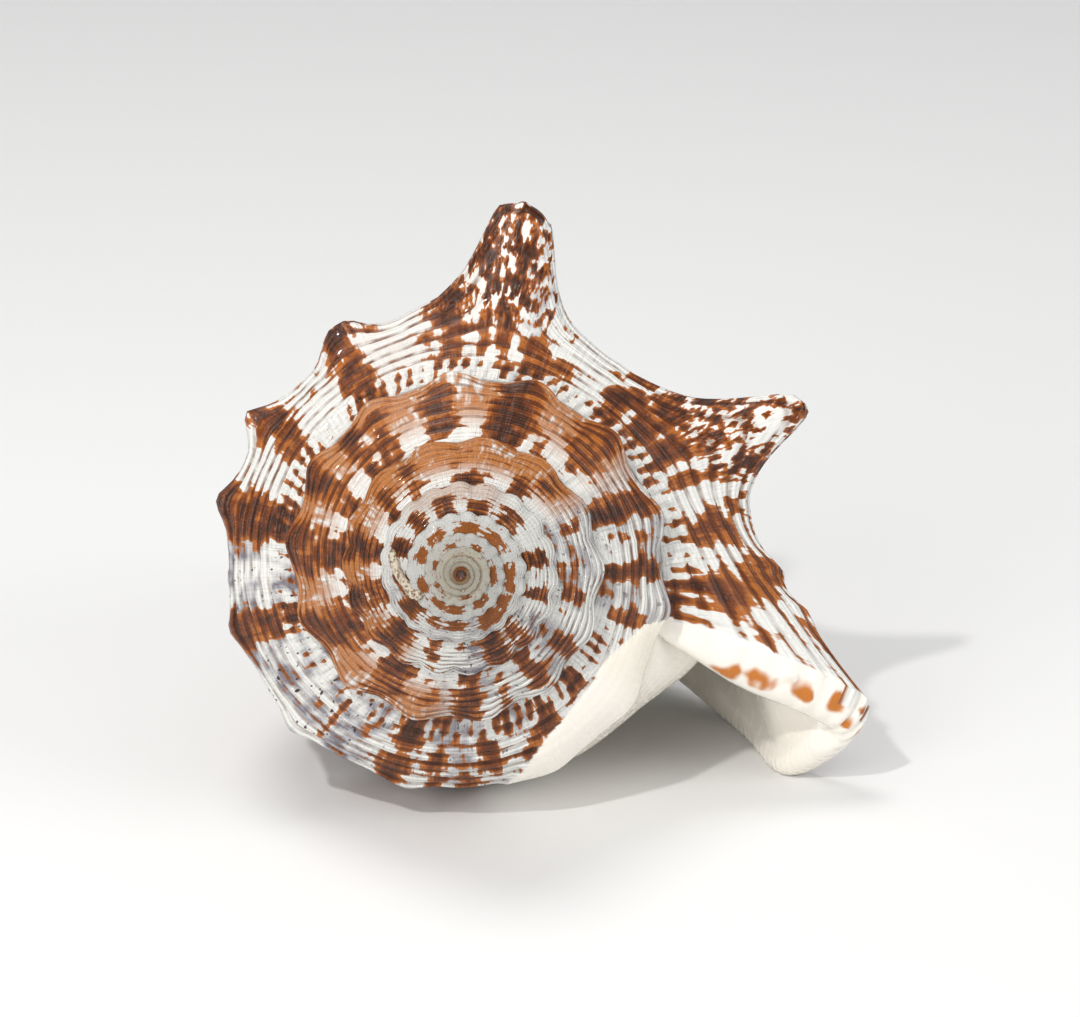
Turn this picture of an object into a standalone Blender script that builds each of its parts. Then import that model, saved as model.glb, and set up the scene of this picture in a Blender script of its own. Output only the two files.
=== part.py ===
"""A conch shell lying on its aperture side, spire towards -Y, grown as one piece.

The shell's surface is one closed sheet. Its outer side is a strip that follows the whorls: each column of
points is a section across the whorl at one growth angle, and a whorl's lower edge is the next one's suture.
At the lip the sheet rolls round the thick rim, and goes back inside as a hollow that coils for most of a
turn.
"""

import math

import bmesh
import bpy
import numpy as np

# Sizes are in millimetres and angles in degrees. A growth angle counts back from the outer lip, so it is 0 at
# the lip, 360 one whorl earlier, and so on to the apex.
LIP_ANGLE = -21.0
TURN_RATIO = 1.49
SUTURE_RADIUS = 22.4
SUTURE_DEPTH = 27.0
DEPTH_POWER = 1.1
SHELL_LENGTH = 89.0

# Each run of columns starts at an angle and holds a number of them; the spines have the closest columns.
COLUMN_RUNS = ((0, 6), (30, 8), (58, 5), (84, 9), (116, 18), (202, 28))
SPIRE_TURNS = 5
UPPER_ROWS = 5
LOWER_ROWS = 21
LOWER_ROW_POWER = 0.93
RIM_LOOPS = 4
HOLLOW_ANGLES = (6, 14, 24, 36, 50, 66, 84, 104, 126, 150, 176, 204, 234, 264, 290)

WALL = 1.6
LIP_WALL = 4.6
RIB_HEIGHT = 0.22
RIB_ROWS = (0.9, 1.6, 8.6, 9.6)
CALLUS_HEIGHT = 0.55
# Ribs and callus keep their full height where the shell is at least this wide, and shrink with it past that.
FULL_RELIEF_RADIUS = 24.0
# The callus starts past these growth angles, one for each row, and below the row where it fades in.
CALLUS_ROWS = (2.6, 3.0, 4.0, 5.0, 6.0, 8.0, 9.0, 10.0)
CALLUS_EDGE = (352, 326, 308, 298, 296, 304, 322, 345)
CALLUS_EDGE_SOFTNESS = 3.0
CALLUS_FADE_ROWS = (2.5, 3.0)

TILT = 17.0
ROLL = 0.8
WORN_FLAT = 0.45

# Rows 1 to 3 stand this far across and down from the suture to the shoulder.
UPPER_SECTION = ((0.44, 0.30), (0.80, 0.62), (1.0, 1.0))
# On the spire the shoulder nearly reaches the next seam's radius, part of the way down to it.
SPIRE_START = (340.0, 380.0)
SPIRE_SHOULDER_RADIUS = 0.995
SPIRE_SHOULDER_DEPTH = 0.77
PLAIN_TURN = 120.0
PLAIN_SHOULDER = 0.25
APEX_DEPTH = 0.6
# The section goes over from its back to its ventral form between these growth angles.
FRONT_BLEND = (150.0, 360.0)

# Section rows, from suture to canal tip. For rows 4 to 10: radius and depth at the ventral side, radius and
# depth on the back, what the lip's flare adds to both, and the reach of that flare in degrees.
SHOULDER_RADIUS = ((0, 25.8), (120, 25.8), (180, 25.5), (240, 25.4), (300, 25.0), (330, 24.1), (360, 22.7))
SHOULDER_DEPTH = ((0, 33.0), (111, 32.3), (201, 29.8), (300, 27.2), (360, 25.0))
FLARE = 22.6
FLARE_REACH = 21.0
BODY_ROWS = (
    (22.8, 27.0, 26.0, 36.0, 22.4, 1.5, 22.0),
    (25.7, 36.0, 25.4, 40.5, 20.6, 2.0, 25.0),
    (24.0, 46.0, 23.9, 49.0, 18.0, 3.0, 30.0),
    (19.2, 57.0, 19.4, 58.5, 16.6, 2.5, 36.0),
    (12.4, 68.5, 12.5, 69.0, 11.6, 0.5, 44.0),
    (7.6, 79.0, 7.6, 79.0, 6.4, 0.0, 52.0),
    (0.0, SHELL_LENGTH, 0.0, SHELL_LENGTH, 0.0, 0.0, 60.0),
)
# How fast the wall between whorls shrinks towards the apex, for rows 4 to 10: radius, then depth.
INNER_SHRINK = (
    (0.358, 0.393),
    (0.52, 0.40),
    (0.62, 0.40),
    (0.95, 0.33),
    (1.1, 0.22),
    (0.9, 0.16),
    (0.0, 0.10),
)
# The hollow's upper corner stands this far down the wall between whorls, at each growth angle.
CORNER_DROP = ((0, 4.6), (60, 6.0), (110, 6.4), (200, 5.4), (290, 4.4))
CORNER_GAP = 0.25
CORNER_FILLET = 0.8
CORNER_FILLET_ROWS = 1.2
CORNER_ROUNDING = 0.45
# The wall is thickest at the lip, and thins along the rows and within this reach in degrees.
LIP_WALL_REACH = 22.0
WALL_TAPER = (1, 1, 1, 1, 0.95, 0.85, 0.8, 0.75, 0.6, 0.45, 0.0)
CANAL_WALL = 1.5
# The hollow's lower end: how far out and up it moves on leaving the lip and further inside, and the reaches.
HOLLOW_END_RADIUS = (0.8, 0.4)
HOLLOW_END_RISE = (1.2, 4.5)
HOLLOW_END_REACH = (5.0, 40.0)
# The rows over which the wall inside is drawn to the lip's side of the hollow, at its two ends.
PIN_UPPER_ROWS = (4.0, 5.6)
PIN_LOWER_ROWS = (8.8, 10.0)
# How far the wall's side turns inwards while the lip's side rolls round the rim.
RIM_WALK = 2.0
# How far the lip's edge stands ahead of LIP_ANGLE on each row, and how far the rolled rim bulges past it.
EDGE_LEAN = (0.0, 2.2, 1.8, 0.0, -5.5, -11.0, -10.0, -9.0, -6.0, -3.0, 0.0)
EDGE_LEAN_REACH = 75.0
RIM_BULGE = (0.6, 6.2, 5.2, 4.6, 3.4, 3.0, 2.8, 2.6, 2.0, 1.0, 0.0)
RIM_BULGE_END = (8.9, 9.5)

# A second row of low nodules runs below the shoulder, and the canal's end is rounded off.
NODULE_HEIGHT = 0.8
NODULE_ROW = 4.9
NODULE_HALF_LENGTH = 0.3
NODULE_START = (10.0, 40.0)
NODULE_END = (240.0, 290.0)
BLUNT_TIP = 3.0
BLUNT_START = 9.0
BLUNT_LIP_GAIN = 1.5
BLUNT_REACH = 30.0
BLUNT_REACH_INSIDE = 18.0
# Past this depth the canal bends back, by this factor times the square of the distance.
CANAL_BEND_START = 66.0
CANAL_BEND = 0.011

# Spines and knobs on the shoulder: growth angle, height, half width in degrees, half length in rows.
SPINES = (
    (44.2, 11.2, 6.0, 0.62),
    (46.0, 3.6, 14.0, 0.9),
    (99.3, 13.2, 8.6, 0.75),
    (104.0, 3.2, 15.0, 1.0),
    (141.0, 2.7, 5.5, 0.42),
    (166.0, 3.0, 5.5, 0.42),
    (189.0, 2.2, 5.5, 0.42),
    (217.0, 1.4, 5.5, 0.4),
    (245.0, 1.5, 5.5, 0.4),
    (276.0, 0.9, 5.5, 0.4),
)
KNOB_SPACING = 26.6
KNOB_PHASE = 393.0
KNOB_HEIGHT = 1.15
KNOB_ROW = 2.9
KNOB_HALF_LENGTH = 0.75
KNOB_START = (285.0, 330.0)
# How sharply spines fall off across the growth angle and along the rows, and how narrow the knobs are.
SPINE_SHARPNESS = 1.35
SPINE_SPREAD = 1.4
KNOB_SHARPNESS = 1.5
# What stands higher than this leans towards the apex, by this part of the rest of its height.
LEAN_START = 2.0
SPINE_LEAN = 0.12
SHARP_EDGE = 50.0


def smooth(x, start, end):
    """Goes from 0 at start to 1 at end, level at both."""
    t = np.clip((x - start) / (end - start), 0.0, 1.0)
    return t * t * (3.0 - 2.0 * t)


def suture(growth):
    """Radius and depth of the seam at the top of the whorl: a logarithmic spiral down a cone."""
    scale = TURN_RATIO ** (-growth / 360.0)
    return SUTURE_RADIUS * scale, SUTURE_DEPTH * scale**DEPTH_POWER


def row_weights(rows):
    """Catmull-Rom weights of the 11 control rows, for each row value from 0 to 10."""
    last = 10
    weights = np.zeros((len(rows), last + 1))
    for i, row in enumerate(rows):
        k = min(int(row), last - 1)
        t = row - k
        cubic = (
            (-t + 2 * t**2 - t**3) / 2,
            (2 - 5 * t**2 + 3 * t**3) / 2,
            (t + 4 * t**2 - 3 * t**3) / 2,
            (t**3 - t**2) / 2,
        )
        for offset, weight in zip((-1, 0, 1, 2), cubic):
            weights[i, min(max(k + offset, 0), last)] += weight
    return weights


def control_rows(growth):
    """Radius and depth of the 11 control rows of the section at each growth angle."""
    g = np.asarray(growth, float)[:, None]
    seam_radius, seam_depth = suture(g)
    next_radius, next_depth = suture(g - 360.0)
    flare = FLARE * np.exp(-g / FLARE_REACH)
    angles, radii = np.transpose(SHOULDER_RADIUS)
    body_radius = np.interp(g, angles, radii) + flare
    angles, depths = np.transpose(SHOULDER_DEPTH)
    body_depth = np.interp(g, angles, depths)
    in_spire = smooth(g, *SPIRE_START)
    shoulder_radius = body_radius + (SPIRE_SHOULDER_RADIUS * next_radius - body_radius) * in_spire
    spire_depth = seam_depth + SPIRE_SHOULDER_DEPTH * (next_depth - seam_depth)
    shoulder_depth = body_depth + (spire_depth - body_depth) * in_spire
    # The first whorl loses its shoulder, so that the spire closes in a plain cone.
    plain = smooth(g, 360.0 * SPIRE_TURNS - PLAIN_TURN, 360.0 * SPIRE_TURNS)
    shoulder_radius = shoulder_radius - PLAIN_SHOULDER * plain * (next_radius - seam_radius)
    radius = [seam_radius]
    depth = [seam_depth]
    for across, down in UPPER_SECTION:
        radius.append(seam_radius + across * (shoulder_radius - seam_radius))
        depth.append(seam_depth + down * (shoulder_depth - seam_depth))
    to_front = smooth(g, *FRONT_BLEND)
    earlier = np.clip(g - 360.0, 0.0, None) / 360.0
    for row, shrink in zip(BODY_ROWS, INNER_SHRINK):
        front_r, front_d, back_r, back_d, flare_r, flare_d, reach = row
        decay = np.exp(-g / reach)
        r = back_r + (front_r - back_r) * to_front + flare_r * decay
        d = back_d + (front_d - back_d) * to_front + flare_d * decay
        radius.append(r * np.exp(-shrink[0] * earlier))
        depth.append(d * np.exp(-shrink[1] * earlier))
    return np.hstack(radius), np.hstack(depth)


def lean(growth, weights):
    """Angle added to each point, so that the lip's edge follows its own line."""
    fade = (1.0 - smooth(np.asarray(growth, float), 0.0, EDGE_LEAN_REACH))[:, None]
    return fade * (weights @ np.array(EDGE_LEAN))[None, :]


def bumps(growth, rows):
    """Height of the knobs and spines over the plain whorl."""
    g = np.asarray(growth, float)[:, None]
    t = np.asarray(rows, float)[None, :]
    height = np.zeros((g.shape[0], t.shape[1]))
    for angle, size, half_width, half_length in SPINES:
        across = 1.0 / (1.0 + ((g - angle) / half_width) ** 2) ** SPINE_SHARPNESS
        along = np.exp(-((t - 3.0) / half_length) ** 2 / SPINE_SPREAD)
        height += size * across * along
    wave = 0.5 + 0.5 * np.cos(2 * math.pi * (g - KNOB_PHASE) / KNOB_SPACING)
    size = KNOB_HEIGHT * TURN_RATIO ** (-(g - 360.0) / 360.0) * smooth(g, *KNOB_START)
    height += size * wave**KNOB_SHARPNESS * np.exp(-((t - KNOB_ROW) / KNOB_HALF_LENGTH) ** 2)
    size = NODULE_HEIGHT * smooth(g, *NODULE_START) * (1.0 - smooth(g, *NODULE_END))
    height += size * wave**KNOB_SHARPNESS * np.exp(-((t - NODULE_ROW) / NODULE_HALF_LENGTH) ** 2)
    return height


def callus(growth, rows):
    """1 where the smooth callus covers the ventral side, 0 elsewhere."""
    g = np.asarray(growth, float)[:, None]
    t = np.asarray(rows, float)[None, :]
    edge = np.interp(t, CALLUS_ROWS, CALLUS_EDGE)
    past = smooth(g, edge - CALLUS_EDGE_SOFTNESS, edge + CALLUS_EDGE_SOFTNESS)
    return past * smooth(t, *CALLUS_FADE_ROWS) * (g <= 360.0)


def blunt(growth, rows):
    """Radius added near the canal's tip, so that it ends round, and wider on the lip's side of the canal."""
    past = np.clip(np.asarray(rows, float) - BLUNT_START, 0.0, 1.0)
    near_lip = np.exp(-np.asarray(growth, float) / BLUNT_REACH)[:, None]
    return BLUNT_TIP * past * np.sqrt(1.0 - past) * (1.0 + BLUNT_LIP_GAIN * near_lip)


def place(radius, depth, angle):
    """Points at a radius and a depth along the axis, turned by an angle in degrees; the canal bends back."""
    turn = np.radians(angle)
    lift = CANAL_BEND * np.clip(depth - CANAL_BEND_START, 0.0, None) ** 2
    return np.stack([radius * np.cos(turn), depth, radius * np.sin(turn) + lift], axis=-1)


def outer_points(growth, rows):
    """The outside of the shell: plain section, then knobs, ribs and callus along the radius."""
    growth = np.asarray(growth, float)
    row = np.asarray(rows, float)
    weights = row_weights(rows)
    radius, depth = control_rows(growth)
    radius = radius @ weights.T + blunt(growth, rows)
    depth = depth @ weights.T
    covered = callus(growth, rows)
    height = bumps(growth, rows) * (1.0 - 0.5 * covered)
    ribbed = np.array([RIB_HEIGHT if j % 2 else -RIB_HEIGHT for j in range(len(rows))])
    ribbed = ribbed * smooth(row, *RIB_ROWS[:2]) * (1.0 - smooth(row, *RIB_ROWS[2:]))
    size = np.clip(radius / FULL_RELIEF_RADIUS, 0.0, 1.0)
    height = height + (ribbed[None, :] * (1.0 - covered) + CALLUS_HEIGHT * covered) * size
    angle = growth[:, None] + LIP_ANGLE + lean(growth, weights)
    return place(radius + height, depth - SPINE_LEAN * np.clip(height - LEAN_START, 0.0, None), angle)


def section_normals(radius, depth):
    """Outward unit normals of the section's control rows, in its own plane."""
    along_r = np.gradient(radius, axis=1)
    along_d = np.gradient(depth, axis=1)
    length = np.hypot(along_r, along_d)
    return along_d / length, -along_r / length


def hollow_end(growth):
    """Radius and depth of the hollow's lower end: at the canal's tip by the lip, and deeper further in."""
    leaving, inside = (1.0 - np.exp(-growth / reach) for reach in HOLLOW_END_REACH)
    radius = HOLLOW_END_RADIUS[0] * leaving + HOLLOW_END_RADIUS[1] * inside
    depth = SHELL_LENGTH - HOLLOW_END_RISE[0] * leaving - HOLLOW_END_RISE[1] * inside
    return radius, depth


def inner_points(growth, rows):
    """The inside of the outer wall: the plain section moved in by the wall's thickness."""
    growth = np.asarray(growth, float)
    weights = row_weights(rows)
    radius, depth = control_rows(growth)
    normal_r, normal_d = section_normals(radius, depth)
    near_lip = np.exp(-growth / LIP_WALL_REACH)[:, None]
    wall = (WALL + (LIP_WALL - WALL) * near_lip) * np.array(WALL_TAPER)[None, :]
    wall[:, 9] = np.minimum(wall[:, 9], CANAL_WALL)
    radius_in = radius - wall * normal_r
    depth_in = depth - wall * normal_d
    wall_radius, wall_depth = control_rows(growth + 360.0)
    down_r = wall_radius[:, 5] - wall_radius[:, 4]
    down_d = wall_depth[:, 5] - wall_depth[:, 4]
    length = np.hypot(down_r, down_d)
    drop = np.interp(growth, *np.transpose(CORNER_DROP))
    radius_in[:, 0] = radius[:, 0] + (drop * down_r + CORNER_GAP * down_d) / length + CALLUS_HEIGHT
    depth_in[:, 0] = depth[:, 0] + (drop * down_d - CORNER_GAP * down_r) / length
    radius_in[:, 1] = radius_in[:, 0] + CORNER_ROUNDING * (radius_in[:, 2] - radius_in[:, 0])
    depth_in[:, 1] = depth_in[:, 0] + CORNER_ROUNDING * (depth_in[:, 2] - depth_in[:, 0])
    radius_in[:, 10], depth_in[:, 10] = hollow_end(growth)
    angle = growth[:, None] + LIP_ANGLE + lean(growth, weights)
    radius_in = radius_in @ weights.T + blunt(growth, rows) * np.exp(-growth / BLUNT_REACH_INSIDE)[:, None]
    return place(radius_in, depth_in @ weights.T, angle)


def parietal_points(growth, rows):
    """The wall that the hollow coils round: the surface of the whorl before."""
    growth = np.asarray(growth, float)
    weights = row_weights(rows)
    radius, depth = control_rows(growth)
    radius[:, 10], depth[:, 10] = hollow_end(growth - 360.0)
    rounding = blunt(growth, rows) * np.exp(-(growth - 360.0) / BLUNT_REACH_INSIDE)[:, None]
    radius = radius @ weights.T + rounding
    cover = CALLUS_HEIGHT * np.clip(radius / FULL_RELIEF_RADIUS, 0.0, 1.0)
    return place(radius + cover, depth @ weights.T, growth[:, None] + LIP_ANGLE)


def pinned(points, first, last, rows):
    """Moves the ends of each parietal section onto the ends of the lip side, fading out between."""
    t = np.asarray(rows, float)
    near_first = (1.0 - smooth(t, *PIN_UPPER_ROWS))[None, :, None]
    near_last = smooth(t, *PIN_LOWER_ROWS)[None, :, None]
    moved = points + (first - points[:, 0])[:, None, :] * near_first
    return moved + (last - moved[:, -1])[:, None, :] * near_last


class Sheet:
    """Collects vertices and faces; grids of vertex numbers are stitched by their shared edges."""

    def __init__(self):
        self.points = []
        self.faces = []

    def add(self, points):
        shape = points.shape[:-1]
        start = len(self.points)
        self.points.extend(points.reshape(-1, 3))
        return np.arange(start, len(self.points)).reshape(shape)

    def quads(self, grid):
        """Faces over a grid of vertex numbers, in the grid's own order."""
        for a, b in zip(grid[:-1], grid[1:]):
            for j in range(len(a) - 1):
                ring = (a[j], a[j + 1], b[j + 1], b[j])
                ring = tuple(dict.fromkeys(int(v) for v in ring))
                if len(ring) > 2:
                    self.faces.append(ring)

    def fan(self, ring, centre):
        for a, b in zip(ring[:-1], ring[1:]):
            if centre not in (a, b):
                self.faces.append((int(a), int(b), int(centre)))


def grow_shell():
    """Builds the whole sheet and returns its points, in millimetres along the shell's own axis, and faces."""
    sheet = Sheet()
    upper = np.linspace(0.0, 4.0, UPPER_ROWS + 1)
    lower = 4.0 + 6.0 * (np.arange(1, LOWER_ROWS + 1) / LOWER_ROWS) ** LOWER_ROW_POWER
    rows = np.concatenate([upper, lower])
    starts = [start for start, _ in COLUMN_RUNS] + [360]
    runs = [
        np.linspace(start, end, count, endpoint=False)
        for (start, count), end in zip(COLUMN_RUNS, starts[1:])
    ]
    one_turn = np.concatenate(runs)
    turn = len(one_turn)
    body = np.append(one_turn, 360.0)
    spire = np.concatenate([one_turn + 360.0 * n for n in range(1, SPIRE_TURNS)])[1:]

    # The body whorl reaches the canal tip, where all its columns meet in one point.
    outside = outer_points(body, rows)
    whorl = sheet.add(outside[:, :-1])
    tip = sheet.add(outside[:1, -1])[0]
    whorl = np.hstack([whorl, np.full((turn + 1, 1), tip)])
    # The lip starts on the whorl before, so the two share that point.
    whorl[0, 0] = whorl[turn, UPPER_ROWS]
    # Each spire whorl ends at the suture of the next one.
    above = sheet.add(outer_points(spire, rows)[:, :UPPER_ROWS])
    seams = np.concatenate([whorl[:, 0], above[:, 0]])
    above = np.hstack([above, seams[1 : len(spire) + 1, None]])
    sheet.quads(whorl)
    sheet.quads(np.vstack([whorl[turn : turn + 1, : UPPER_ROWS + 1], above]))
    apex = sheet.add(np.array([[0.0, APEX_DEPTH, 0.0]]))[0]
    open_top = np.concatenate([seams[-1 - turn :], above[-1, 1 : UPPER_ROWS + 1]])
    sheet.fan(open_top[::-1], apex)

    # The rim rolls from the outer edge of the lip to the inner one.
    edge = outside[0]
    edge[0] = sheet.points[whorl[0, 0]]
    inner_edge = inner_points([0.0], rows)[0]
    weights = row_weights(rows)
    bulge = (weights @ np.array(RIM_BULGE) * (1.0 - smooth(rows, *RIM_BULGE_END)))[:, None]
    turned = np.radians(LIP_ANGLE + lean([0.0], weights)[0])
    ahead = np.stack([np.sin(turned), 0.0 * turned, -np.cos(turned)], axis=-1)
    outward = np.stack([np.cos(turned), 0.0 * turned, np.sin(turned)], axis=-1)
    roll = np.linspace(0.0, math.pi, RIM_LOOPS + 2)[1:-1]
    middle = (edge + inner_edge) / 2
    half = (edge - inner_edge) / 2
    fillet = CORNER_FILLET * (1.0 - smooth(rows, 0.0, CORNER_FILLET_ROWS))[:, None] * outward
    rim = np.array([middle + math.cos(a) * half + math.sin(a) * (bulge * ahead + fillet) for a in roll])
    lip_side = np.concatenate([rim, inner_edge[None], inner_points(HOLLOW_ANGLES, rows)])
    walk = np.concatenate([np.linspace(0.0, RIM_WALK, RIM_LOOPS + 2)[1:], np.array(HOLLOW_ANGLES, float)])
    inner_rows = rows[UPPER_ROWS:]
    wall_side = parietal_points(360.0 + walk, inner_rows)
    wall_side = pinned(wall_side, lip_side[:, 0], lip_side[:, -1], inner_rows)

    # The rim's loops all end in the canal's tip.
    deep_ends = sheet.add(lip_side[RIM_LOOPS + 1 :, -1])
    ends = np.concatenate([np.full(RIM_LOOPS + 1, tip), deep_ends])
    lip_grid = np.hstack([sheet.add(lip_side[:, :-1]), ends[:, None]])
    wall_grid = sheet.add(wall_side[:, 1:-1])
    wall_grid = np.hstack([lip_grid[:, :1], wall_grid, lip_grid[:, -1:]])
    sheet.quads(np.vstack([whorl[:1], lip_grid])[::-1])
    sheet.quads(np.vstack([whorl[turn : turn + 1, UPPER_ROWS:], wall_grid]))
    # The hollow ends where its two sides are joined across.
    deep_lip = lip_grid[-1]
    deep_wall = wall_grid[-1]
    sheet.fan(deep_lip[: UPPER_ROWS + 1], deep_lip[0])
    sheet.quads(np.vstack([deep_lip[UPPER_ROWS:], deep_wall])[::-1])
    return np.array(sheet.points), sheet.faces


def stand(points):
    """Lays the shell on its aperture side: tilts it spire up, and puts its lowest point at zero."""
    tilt = math.radians(TILT)
    roll = math.radians(ROLL)
    x, y, z = points.T
    x, z = x * math.cos(roll) - z * math.sin(roll), x * math.sin(roll) + z * math.cos(roll)
    y, z = y * math.cos(tilt) + z * math.sin(tilt), z * math.cos(tilt) - y * math.sin(tilt)
    placed = np.stack([x, y, z], axis=-1)
    placed[:, 2] -= placed[:, 2].min() + WORN_FLAT
    placed[:, :2] -= (placed[:, :2].max(axis=0) + placed[:, :2].min(axis=0)) / 2
    return placed


def wear_flat(mesh):
    """Cuts off what is below the surface that the shell rests on, and closes the cuts."""
    shape = bmesh.new()
    shape.from_mesh(mesh)
    bmesh.ops.triangulate(shape, faces=shape.faces)
    everything = shape.verts[:] + shape.edges[:] + shape.faces[:]
    cut = bmesh.ops.bisect_plane(
        shape, geom=everything, dist=1e-7, plane_co=(0, 0, 0), plane_no=(0, 0, -1), clear_outer=True
    )
    rims = [item for item in cut["geom_cut"] if isinstance(item, bmesh.types.BMEdge)]
    bmesh.ops.edgeloop_fill(shape, edges=rims)
    bmesh.ops.triangulate(shape, faces=shape.faces)
    bmesh.ops.recalc_face_normals(shape, faces=shape.faces)
    shape.to_mesh(mesh)
    shape.free()


def shell_material():
    material = bpy.data.materials.new("shell")
    material.use_nodes = True
    shader = material.node_tree.nodes["Principled BSDF"]
    shader.inputs["Base Color"].default_value = (0.62, 0.42, 0.25, 1.0)
    shader.inputs["Roughness"].default_value = 0.3
    shader.inputs["Metallic"].default_value = 0.0
    return material


def main():
    for thing in list(bpy.data.objects):
        bpy.data.objects.remove(thing, do_unlink=True)
    points, faces = grow_shell()
    mesh = bpy.data.meshes.new("shell")
    mesh.from_pydata((stand(points) * 0.001).tolist(), [], faces)
    wear_flat(mesh)
    mesh.shade_smooth()
    mesh.set_sharp_from_angle(angle=math.radians(SHARP_EDGE))
    shell = bpy.data.objects.new("shell", mesh)
    shell.data.materials.append(shell_material())
    bpy.context.collection.objects.link(shell)


main()
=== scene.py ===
import math

import bpy
import numpy as np
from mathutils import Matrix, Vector


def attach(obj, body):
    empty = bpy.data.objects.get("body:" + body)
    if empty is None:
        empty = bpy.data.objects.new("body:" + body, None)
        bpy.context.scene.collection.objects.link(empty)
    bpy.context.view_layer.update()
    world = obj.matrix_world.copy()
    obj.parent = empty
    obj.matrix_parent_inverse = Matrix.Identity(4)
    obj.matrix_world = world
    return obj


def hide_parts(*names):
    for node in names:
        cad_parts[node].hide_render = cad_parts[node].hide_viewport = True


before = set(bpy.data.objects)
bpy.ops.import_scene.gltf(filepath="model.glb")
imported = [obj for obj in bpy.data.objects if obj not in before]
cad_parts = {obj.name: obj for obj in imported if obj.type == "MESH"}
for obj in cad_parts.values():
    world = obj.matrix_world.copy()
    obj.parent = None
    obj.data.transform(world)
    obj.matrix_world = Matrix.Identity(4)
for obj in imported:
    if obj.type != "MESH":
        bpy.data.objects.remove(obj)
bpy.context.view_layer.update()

# The shell's form. Lengths are millimetres along the shell's own axis, angles degrees. A growth angle counts
# back from the outer lip: 0 at the lip, 360 one whorl earlier. A row runs across the whorl: 0 at the suture,
# 3 on the shoulder, 4 where the next whorl starts on the spire, 10 at the canal's tip.
shell = {
    "lipAngle": -21,
    "turnRatio": 1.49,
    "sutureRadius": 22.4,
    "sutureDepth": 27,
    "depthPower": 1.1,
    "length": 89,
    "turns": 10,
    "tilt": 17,
    "roll": 0.8,
    "flare": 22.6,
    "flareReach": 17,
    "shoulderRadius": (
        (0, 25.8), (120, 25.8), (180, 25.5), (240, 25.4), (300, 25), (330, 24.1), (360, 22.7),
    ),
    "shoulderDepth": ((0, 33), (111, 32.3), (201, 29.8), (300, 27.2), (360, 25)),
    # rows 4 to 10: ventral radius and depth, back radius and depth, what the flare adds to both, its reach
    "bodyRows": (
        (22.8, 27, 26, 36, 22.4, 1.5, 18.5), (25.7, 36, 25.4, 40.5, 20.6, 2, 22),
        (24, 46, 23.9, 49, 18, 3, 30), (19.2, 57, 19.4, 58.5, 16.6, 2.5, 36),
        (12.4, 68.5, 12.5, 69, 11.6, 0.5, 44), (7.6, 79, 7.6, 79, 6.4, 0, 52), (0, 89, 0, 89, 0, 0, 60),
    ),
    # how fast the wall between whorls shrinks towards the apex, rows 4 to 10: radius, then depth
    "innerShrink": (
        (0.358, 0.393), (0.52, 0.4), (0.62, 0.4), (0.95, 0.33), (1.1, 0.22), (0.9, 0.16), (0, 0.1),
    ),
    "edgeLean": (0, 2.2, 1.8, 0, -5.5, -11, -10, -9, -6, -3, 0),
    "rimBulge": (1, 4.4, 4.9, 4.6, 3.4, 3, 2.8, 2.6, 2, 1, 0),
    # spines and knobs on the shoulder: growth angle, height, half width, half length in rows, how blunt
    "spines": (
        (44.2, 11, 6, 0.62, 2),
        (44, 4.6, 15, 1.1, 2),
        (18, 1.3, 2.2, 0.5, 2),
        (10.4, 1.2, 2, 0.5, 2),
        (99.3, 12.4, 7.6, 0.75, 2.9),
        (102, 4.2, 19, 1, 2),
        (138, 3, 6.5, 0.5, 3),
        (165.5, 3, 5, 0.42, 2),
        (186, 2.3, 5.5, 0.42, 2),
        (217, 1.4, 5.5, 0.4, 2),
        (245, 1.5, 5.5, 0.4, 2),
        (276, 0.9, 5.5, 0.4, 2),
    ),
    # the broken tips: growth angle, height, how much lower for each degree before and after, how rough
    "brokenTips": ((44.2, 14.6, 0.15, 0.1, 0.25), (99.6, 14.4, 0.38, 0.12, 0.3)),
    "knobSpacing": 26.6,
    "knobPhase": 393,
    "earlyKnobSpacing": 19.5,
    "knobHeight": 1.45,
    "noduleHeight": 0.8,
    "noduleRow": 4.9,
    "callusHeight": 0.55,
    "padHeight": 3.4,
    "padReach": 14,
    "grooveFill": 1.1,
    "canalBend": 0.011,
    "bluntTip": 3,
    "wall": 1.6,
    "lipWall": 4.6,
    "wallTaper": (1.5, 1.5, 1.35, 1.1, 0.95, 0.85, 0.8, 0.75, 0.6, 0.45, 0),
    # where the callus starts: growth angle for each row, and lowest row for each growth angle
    "callusEdge": ((0.9, 350), (1.15, 326), (1.4, 318), (1.85, 309), (2.6, 303), (4, 297), (5, 294), (6, 294),
                   (8, 304), (9, 322), (10, 345)),
    "callusUpper": ((300, 0.9), (344, 0.9), (353, 1.3), (361, 1.95), (367, 3.6)),
    "cornerDrop": ((0, 7.4), (20, 6.6), (60, 6), (110, 6.4), (200, 5.4), (290, 4.4)),
    "hollowAngles": (3, 7, 14, 24, 36, 50, 66, 84, 104, 126, 150, 176, 204, 234, 264, 290),
    # relief that the solid lacks: spiral cords and growth folds
    "columns": 216,
    "denserAt": ((44, 1.4), (99.5, 2)),
    "cords": 57,
    "spireCords": 12,
    "rimLoops": 9,
    "stepsPerCord": 4,
    "cordHeight": 0.42,
    "lipCordHeight": 0.62,
    "foldHeight": 0.1,
    "seed": 11,
}


def smooth(x, start, end):
    # from 0 at start to 1 at end, level at both
    t = np.clip((x - start) / (end - start), 0, 1)
    return t * t * (3 - 2 * t)


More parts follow.
